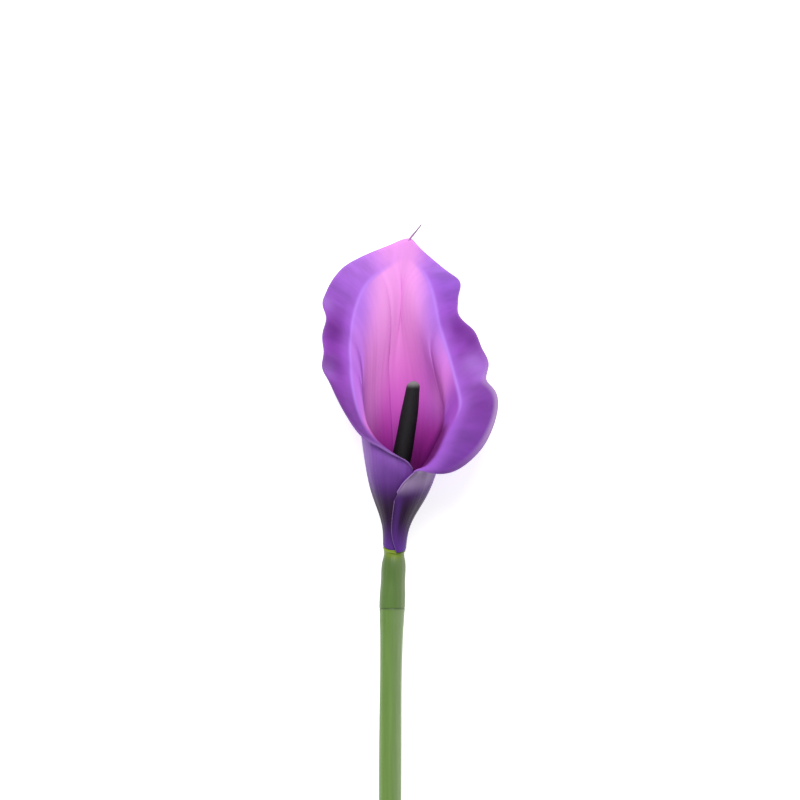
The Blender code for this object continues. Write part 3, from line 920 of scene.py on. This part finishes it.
def make_stem():
    """Lighter green stem, flared at the joint, with a plain square cut at its end."""
    top, end = JOINT_Y - 0.08, STEM_END
    heights = np.concatenate([
        [end, end + 0.05, end + 0.15, end + 0.4],
        np.linspace(end + 1.5, -60, 120),
        np.linspace(-59, top - 0.8, 44),
        [top - 0.5, top - 0.25, top - 0.1, top],
    ])
    radii = smooth_curve(
        (end, end + 0.15, end + 0.4, -220, -170, -120, -80, -52, -44, -38, -33, top - 0.6, top - 0.15, top),
        (4.75, 4.98, STEM_RADIUS, 5.05, 5.1, 5.1, 5.05, 5.07, 5.22, 5.38, 5.62, 5.88, 5.86, 5.78), heights)

    def ribs(t, y):
        return 0.03 * np.sin(t * 13 + 0.4 * np.sin(y * 0.06)) + 0.05 * np.sin(t * 2 - y * 0.05)

    mesh = rod("stem_rod", heights, stem_middle(heights), radii, 96, ribs)
    place("stem_rod", mesh, (stem_finish(),), "stem", "stem")


def stem_finish():
    """Light green, deeper towards the joint, greyer down its right side as a painted sheen, with a paler
    core at the cut.
    """
    finish = Finish("stem_finish", Roughness=0.42, Specular_IOR_Level=0.45)
    spot, x, y, _ = finish.spot()
    streaks, grain = green_skin(finish, spot)
    colour = finish.ramp(y, STEM_END, -28, (
        (STEM_END, (0.165, 0.300, 0.062)),
        (-100, (0.165, 0.300, 0.062)),
        (-50, (0.150, 0.278, 0.056)),
        (-29, (0.130, 0.245, 0.048)),
    ))
    # Painted sheen: greyer down the right side
    colour = finish.mix(finish.between(x, -3.5, 2.5), colour, finish.mix(0.5, colour, (0.26, 0.33, 0.18)))
    colour = finish.tone(colour, streaks, 0.84, 1.18)
    seam = finish.bell(y, JOINT_Y - 0.3, 0.4)
    colour = finish.mix(finish.scaled(seam, 0.6), colour, (0.05, 0.09, 0.03))
    cut = finish.between(y, STEM_END + 0.4, STEM_END + 0.05)
    pith = finish.noise(spot, 1.6, 3.0, 0.6)
    colour = finish.mix(cut, colour, finish.mix(pith, (0.16, 0.24, 0.07), (0.34, 0.42, 0.16)))
    return finish.done(colour, finish.between(grain, 0.3, 0.7, 0.50, 0.38))


# ---------------------------------------------------------------- stage

def flower_frame():
    """The flower's frame in the row's frame: pitched, then moved until its stem's end meets the solid's."""
    turn = Matrix.Rotation(math.radians(LIE_PITCH), 4, "X")
    bevel = 0.4
    left = STEM_MIDDLES[0][1] - STEM_RADIUS
    furthest = (turn @ Vector((0, STEM_END, STEM_RADIUS - bevel))).y
    lowest = (turn @ Vector((0, STEM_END + bevel, -STEM_RADIUS))).z
    shift = Vector(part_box("stem")[0]) - Vector((left, furthest, lowest)) * MM
    return Matrix.Translation(shift) @ turn


def aim(obj, place_mm, target_mm, up_mm=(0, 1, 0)):
    """Put a camera or light at a place in the flower's frame, looking at a target."""
    place_at, target = FLOWER @ (Vector(place_mm) * MM), FLOWER @ (Vector(target_mm) * MM)
    back = (place_at - target).normalized()
    right = (FLOWER.to_3x3() @ Vector(up_mm)).cross(back).normalized()
    up = back.cross(right)
    turn = Matrix((right, up, back)).transposed().to_4x4()
    obj.matrix_world = Matrix.Translation(place_at) @ turn


def add_camera():
    """Looks straight down into the flower's open front from far enough for a flat, calm view."""
    lens = 195.0
    view_width, view_middle = 368.0, (2.3, 68.1)
    camera = bpy.data.cameras.new("camera")
    camera.lens = lens
    camera.sensor_width = 36.0
    camera.clip_end = 20.0
    holder = bpy.data.objects.new("camera", camera)
    bpy.context.scene.collection.objects.link(holder)
    distance = view_width * lens / camera.sensor_width
    aim(holder, (*view_middle, distance), (*view_middle, 0))
    bpy.context.scene.camera = holder


def add_light(name, place_mm, target_mm, size, watts):
    """A round soft light; size is its width in metres."""
    light = bpy.data.lights.new(name, "AREA")
    light.shape = "DISK"
    light.size = size
    light.energy = watts
    holder = bpy.data.objects.new(name, light)
    bpy.context.scene.collection.objects.link(holder)
    aim(holder, place_mm, target_mm, (0.01, 0.02, 1))


def add_stage():
    """White floor, white surroundings and a soft key light from beyond the flower's tip."""
    floor_width = 8.0   # metres
    bpy.ops.mesh.primitive_plane_add(size=floor_width, location=(0, 0, -FLOOR_DROP * MM))
    floor = bpy.context.object
    floor.name = "floor"
    finish = Finish("floor_white", Roughness=0.9, Specular_IOR_Level=0.1)
    finish.shader.inputs["Emission Color"].default_value = (1, 1, 1, 1)
    finish.shader.inputs["Emission Strength"].default_value = 0.62
    floor.data.materials.append(finish.done((0.92, 0.92, 0.92)))
    world = bpy.data.worlds.new("studio")
    world.use_nodes = True
    world.node_tree.nodes["Background"].inputs["Color"].default_value = (1, 1, 1, 1)
    world.node_tree.nodes["Background"].inputs["Strength"].default_value = 0.46
    bpy.context.scene.world = world
    add_light("key", (-60, 900, 1050), (0, 70, 0), 1.0, 15)
    bpy.context.scene.view_settings.view_transform = "Standard"


FLOWER = flower_frame()
make_spathe()
make_tail()
make_spadix()
make_neck()
make_stem()
add_camera()
add_stage()
